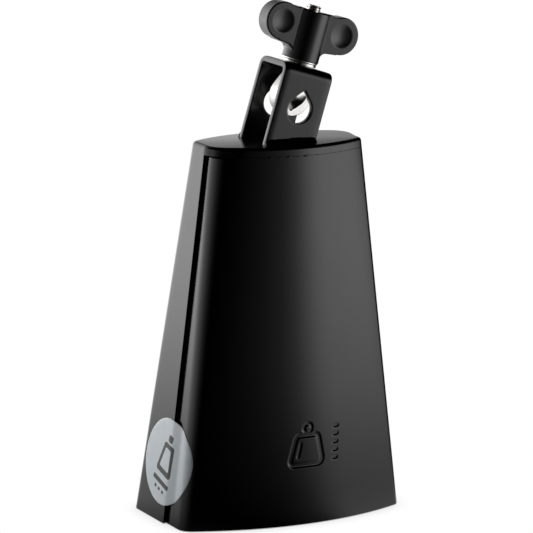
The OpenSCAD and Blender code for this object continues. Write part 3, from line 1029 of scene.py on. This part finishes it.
def insert():
    """Flanged bush in the handle's barrel."""
    low = STRAP_TOP + GAP + WASHER_T + GAP
    bore, neck_r, flange_r = 4.0, 6.4, BARREL_R - 0.4
    shoulder, top = low + FLANGE_T - 0.02, BARREL_TOP - 5
    profile = rounded([(bore, low), (flange_r, low), (flange_r, shoulder), (neck_r, shoulder),
                       (neck_r, top), (bore, top)], [0.2, 0.3, 0.2, 0.2, 0.3, 0.2])
    make("insert_bush_plated", lathe(profile[::-1]), "handle", [NICKEL],
         "threaded_insert", 45)


DIMPLE_DEPTH, DIMPLE_EDGE_R = 1.3, 6.4
DIMPLE_R = (DIMPLE_EDGE_R ** 2 + DIMPLE_DEPTH * DIMPLE_DEPTH) / (2 * DIMPLE_DEPTH)


def handle_field(x, y, z):
    rad, across = np.hypot(x, y), np.abs(x)
    barrel = round_cross(rad - BARREL_R, np.abs(z - (BARREL_LOW + BARREL_TOP) / 2)
                         - (BARREL_TOP - BARREL_LOW) / 2, 0.4)
    # outline of round wing ends, sloping arms and a core
    ends = np.hypot(across - WING_X - 0.25 * (x > 0), z - WING_UP - 0.1) - WING_R
    slope_cos = 0.9957
    top = (z - (69.6 + 0.105 * across)) * slope_cos
    low = ((49.3 + 0.104 * across) - z) * slope_cos
    arm = np.maximum(np.maximum(top, low), across - WING_X)
    wings = smooth_min(ends, arm, 0.5)
    core = np.maximum(across - 8.9, np.maximum(z - 70.2, BARREL_LOW + 0.5 - z))
    # fillet between wings and core
    fillet = 3.4
    filled = fillet - np.hypot(np.maximum(fillet - wings, 0), np.maximum(fillet - core, 0))
    outline = np.minimum(np.minimum(wings, core), filled)
    wing = round_cross(outline, np.abs(y) - WING_T / 2, 0.75)
    body = smooth_min(barrel, wing, 0.2)
    # a shallow round dimple in each face of each wing
    dimple = np.sqrt((across - WING_X) ** 2
                     + (np.abs(y) - (WING_T / 2 - DIMPLE_DEPTH + DIMPLE_R)) ** 2
                     + (z - WING_UP) ** 2) - DIMPLE_R
    body = -smooth_min(-body, dimple, 0.22)
    # bolt hole through the top, wider pocket for the bush below it
    hole = np.maximum(rad - 4.2 - np.clip(z - (BARREL_TOP - 0.5), 0, 1), (BARREL_TOP - 6.0) - z)
    pocket = np.maximum(rad - 6.42, z - (BARREL_TOP - 4.98))
    return np.maximum(body, -np.minimum(hole, pocket))


def handle():
    cell = 0.22
    verts, quads = surface_nets(handle_field, (-30.2, -11.0, BARREL_LOW - 1.2),
                                (30.2, 11.0, 73.4), cell)
    make("wing_handle_moulding", (neck(verts), quads), "handle", [PLASTIC],
         "wing_handle", 60)


# ---------------------------------------------------------------- label
FILM_LIFT, FILM_T, FILM_UNDER = 0.14, 0.16, 0.1
# pictogram of a bell, in label coordinates: outline, inner outline, knob, bar, three dots
ART_TURN = math.radians(-14)
ART = [rounded(trapezoid(8.4, -7.4, 5.0, 10.0), 1.8, 5),
       rounded(trapezoid(5.4, -4.4, 3.0, 7.3), 1.0, 4),
       rounded(trapezoid(2.3, 11.2, 2.3, 15.2), 1.2, 4),
       rounded(trapezoid(9.0, -13.2, 9.0, -10.6), 0.6, 3)]
ART += [rounded(box(x - 1.1, -16.9, x + 1.1, -15.2), 0.4, 2) for x in (-4.4, 0.0, 4.4)]


def left_point(forward, z, off):
    """Point off the left side, following its step at the seam and the front left corner."""
    y = LABEL_Y - forward
    radius, centre_y, corner_r = face_radius(z), face_centre(z), at(FRONT_LEFT_R, z)
    cx, cy, bend = corner_centre(z, STEP, 0, corner_r)
    over = -y - cy
    if over <= 0:
        t = (at(SEAM, z) - 0.3 - y) / 6.6
        sink = min(1.0, 0.5 * (t + math.sqrt(t * t + 0.003)))
        sink -= 0.02 * max(0, 1 - abs(t - 1) / 0.12)
        return (-(half_width(z) - STEP * sink + off), y, z)
    rest = over - corner_r * bend
    if rest <= 0:
        q = min(bend, over / corner_r)
        return (-(cx + (corner_r + off) * math.cos(q)), -(cy + (corner_r + off) * math.sin(q)), z)
    q = bend + rest / radius
    return (-(radius + off) * math.cos(q), -(centre_y + (radius + off) * math.sin(q)), z)


def label_place(points, lift):
    """Label coordinates (towards the front, up) to the bell frame."""
    return np.array([left_point(0.955 * x - 0.35,
                                LABEL_Z - 0.35 + 1.012 * y * math.cos(FLANK_TILT), lift)
                     for x, y in points])


def label():
    cos, sin = math.cos(ART_TURN), math.sin(ART_TURN)
    art = [resample(loop @ np.array([[cos, sin], [-sin, cos]]), 1.1) for loop in ART]
    outer = circle((0, 0), LABEL_R, 150)
    flat, tris = plate(outer * (1 - 0.12 / LABEL_R), [], 1.1, extra=art)
    centres = flat[tris].mean(1)
    dark = np.zeros(len(tris), bool)
    for loop in art[:1] + art[2:]:
        dark |= inside(loop, centres)
    dark &= ~inside(art[1], centres)
    # top, bottom and rim; the film's edge thins out
    count, size = len(flat), len(outer)
    under = FILM_LIFT - FILM_UNDER
    verts = [label_place(flat, FILM_LIFT + FILM_T), label_place(flat, under),
             label_place(outer, FILM_LIFT + FILM_T * 0.6), label_place(outer, under)]
    faces = [tuple(t[::-1]) for t in tris] + [tuple(t + count) for t in tris]
    starts = [0, 2 * count, 2 * count + size, count]
    for i in range(size):
        j = (i + 1) % size
        for a, b in zip(starts, starts[1:]):
            faces.append((a + i, a + j, b + j, b + i))
    slots = list(dark) + [0] * (len(faces) - len(dark))
    make("round_label_film", (np.concatenate(verts), faces), "bell", [FILM, INK],
         "round_label", 50, slots)


# ---------------------------------------------------------------- floor and studio
# brightness round the studio, from tall soft panels behind left and front right:
# (degrees counter-clockwise from +X, brightness)
PANELS = [(60, 1.0), (85, 1.7), (105, 2.8), (120, 3.0), (127, 2.75), (134, 2.5), (147, 2.0),
          (160, 1.35), (180, 0.8), (200, 0.28), (220, 0.07), (240, 0.0), (252, 0.0), (262, 0.04),
          (276, 0.12), (288, 0.28), (296, 0.60), (303, 1.25), (310, 1.95), (317, 2.2),
          (330, 2.05), (342, 1.75), (350, 1.3), (357, 0.5), (362, 0.10), (367, 0.01),
          (406, 0.01), (412, 0.2), (416, 0.7)]
PANELS_FROM = 60
PANEL_SCALE = 4  # keeps the ramp's colours below 1
# (share of a turn from PANELS_FROM, how much of the height the fade sees)
PANEL_TALLNESS = [(0.0, 1.0), (0.05, 0.5), (0.10, 0.4), (0.24, 0.4), (0.34, 1.0), (1.0, 1.0)]
# (height of the direction, share of brightness)
PANEL_FADE = [(0.0, 1.0), (0.12, 0.85), (0.21, 0.5), (0.30, 0.08), (0.42, 0.0), (1.0, 0.0)]
# (distance from the origin in metres * 0.4, share of brightness)
FLOOR_FADE = [(0.0, 0.46), (0.045, 0.38), (0.065, 0.35), (0.14, 0.45), (0.20, 0.57),
              (0.26, 0.66), (0.36, 0.79), (0.5, 0.9), (0.8, 1.0)]
# (openness, floor tone) for the contact shadow
FLOOR_SHADE = [(0.0, 0.25), (0.5, 0.82), (0.85, 0.985), (1.0, 1.0)]


def panel_light(graph, vector):
    """Brightness in the compass direction of vector, its height, and the turn it lies at."""
    split = graph.add("SeparateXYZ")
    graph.plug(split.inputs[0], vector)
    angle = graph.math("ARCTAN2", split.outputs["Y"], split.outputs["X"])
    turn = graph.math("MULTIPLY", angle, 1 / (2 * math.pi))
    turn = graph.math("FRACT", graph.math("ADD", turn, 2 - PANELS_FROM / 360))
    stops = [((degrees - PANELS_FROM) / 360, value / PANEL_SCALE) for degrees, value in PANELS]
    light = graph.math("MULTIPLY", graph.ramp(turn, stops), PANEL_SCALE)
    return graph.math("MAXIMUM", light, 0.0), split.outputs["Z"], turn


def floor_material():
    """Pale to the camera; reflections see the studio's panels instead."""
    material = bpy.data.materials.new("pale_floor")
    material.use_nodes = True
    graph = Graph(material.node_tree)
    graph.tree.nodes.clear()
    occlusion = graph.add("AmbientOcclusion", Distance=0.014)
    occlusion.samples = 16
    seen = graph.add("Emission", Color=graph.ramp(occlusion.outputs["AO"], FLOOR_SHADE))
    position = graph.add("NewGeometry").outputs["Position"]
    light, _, _ = panel_light(graph, position)
    length = graph.add("VectorMath")
    length.operation = "LENGTH"
    graph.plug(length.inputs[0], position)
    near = graph.ramp(graph.math("MULTIPLY", length.outputs["Value"], 0.4), FLOOR_FADE)
    lighting = graph.add("Emission", Strength=graph.math("MULTIPLY", light, near))
    graph.add("OutputMaterial", Surface=graph.camera_switch(lighting, seen))
    return material


def floor():
    half = 14  # metres
    data = bpy.data.meshes.new("floor")
    data.from_pydata([(x, y, 0) for x, y in box(-half, -half, half, half)], [], [(0, 1, 2, 3)])
    ob = bpy.data.objects.new("floor", data)
    bpy.context.scene.collection.objects.link(ob)
    ob.location.z = -0.0004
    data.materials.append(floor_material())


def studio():
    """White to the camera; lighting comes from the panels, fading with height."""
    world = bpy.data.worlds.new("studio")
    bpy.context.scene.world = world
    world.use_nodes = True
    graph = Graph(world.node_tree)
    graph.tree.nodes.clear()
    light, height, turn = panel_light(graph, graph.add("TexCoord").outputs["Generated"])
    tall = graph.ramp(turn, PANEL_TALLNESS)
    fade = graph.ramp(graph.math("MULTIPLY", height, tall), PANEL_FADE)
    white = (1, 1, 1, 1)
    lighting = graph.add("Background", Color=white, Strength=graph.math("MULTIPLY", light, fade))
    seen = graph.add("Background", Color=white)
    graph.add("OutputWorld", Surface=graph.camera_switch(lighting, seen))


# ---------------------------------------------------------------- light and camera
AZIMUTH, ELEVATION, ROLL = (math.radians(a) for a in (29.5214, 12.3071, 1.719))
TO_CAMERA = Vector((-math.sin(AZIMUTH) * math.cos(ELEVATION),
                    -math.cos(AZIMUTH) * math.cos(ELEVATION), math.sin(ELEVATION)))
AIM = Vector((-5.0194, 0, 133.8064))
CAMERA_DISTANCE = 1851.33


def eye_card():
    """Soft light from the camera's side that reaches only the eyebolt."""
    light = bpy.data.lights.new("eye_card", "AREA")
    light.shape = "DISK"
    light.size = 0.22
    light.energy = 16.0
    ob = bpy.data.objects.new("eye_card", light)
    bpy.context.scene.collection.objects.link(ob)
    ob.location = Vector((0.0, 0.0, H + 20)) * MM + TO_CAMERA * 1.0
    ob.rotation_euler = TO_CAMERA.to_track_quat("Z", "Y").to_euler()
    ob.visible_camera = False
    ob.visible_glossy = False
    lit = bpy.data.collections.new("eye_card_lights")
    lit.objects.link(bpy.data.objects["eyebolt_forging"])
    ob.light_linking.receiver_collection = lit


def camera():
    forward = -TO_CAMERA
    right = forward.cross(Vector((0, 0, 1))).normalized()
    up = right.cross(forward)
    right, up = (math.cos(ROLL) * right + math.sin(ROLL) * up,
                 -math.sin(ROLL) * right + math.cos(ROLL) * up)
    data = bpy.data.cameras.new("camera")
    data.sensor_width = 36
    data.sensor_fit = "HORIZONTAL"
    data.lens = 232.590394
    data.clip_end = 60
    ob = bpy.data.objects.new("camera", data)
    bpy.context.scene.collection.objects.link(ob)
    place = AIM * MM + TO_CAMERA * CAMERA_DISTANCE * MM
    turn = Matrix((right, up, TO_CAMERA)).transposed().to_4x4()
    ob.matrix_world = Matrix.Translation(place) @ turn
    scene = bpy.context.scene
    scene.camera = ob
    scene.view_settings.view_transform = "Standard"
    scene.view_settings.look = "None"


# ---------------------------------------------------------------- build
rear_shell()
front_shell()
coating_runs()
bracket()
foot_welds()
eyebolt_forging()
eyebolt_thread()
washer()
insert()
handle()
label()
for name in ("seam_welds", "crown_welds"):
    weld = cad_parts[name].data
    weld.materials.clear()
    weld.materials.append(COAT_INSIDE)
floor()
studio()
eye_card()
camera()

bpy.context.view_layer.update()
